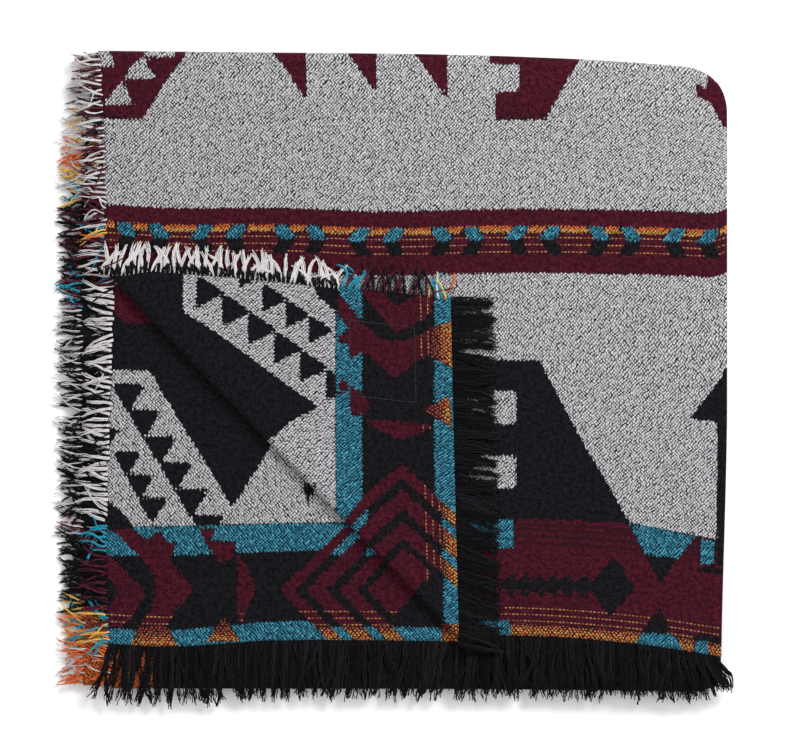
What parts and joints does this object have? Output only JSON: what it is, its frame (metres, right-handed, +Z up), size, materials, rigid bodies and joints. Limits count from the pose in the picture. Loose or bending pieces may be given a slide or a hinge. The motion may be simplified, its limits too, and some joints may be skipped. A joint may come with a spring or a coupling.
{
  "type": "throw blanket",
  "caption": "Woven throw folded in half and in thirds, one corner turned back, with cut fringe on its edges.",
  "frame": {"origin": "below the middle of the folded throw, on the surface that it lies on", "axes": "+Z up, +X towards the fold across the width, +Y towards the upper long fold, away from the black end fringe"},
  "size_m": [0.6788, 0.6614, 0.0242],
  "materials": {
    "double_cloth": "brushed wool and acrylic double weave",
    "warp_yarn": "loose black yarn ends",
    "weft_yarn": "loose yarn ends in the pattern's colours"
  },
  "bodies": {
    "root": {"throw_cloth": "double_cloth", "warp_fringe_near": "warp_yarn", "warp_fringe_far": "warp_yarn", "weft_fringe_first": "weft_yarn", "weft_fringe_second": "weft_yarn"}
  },
  "joints": []
}
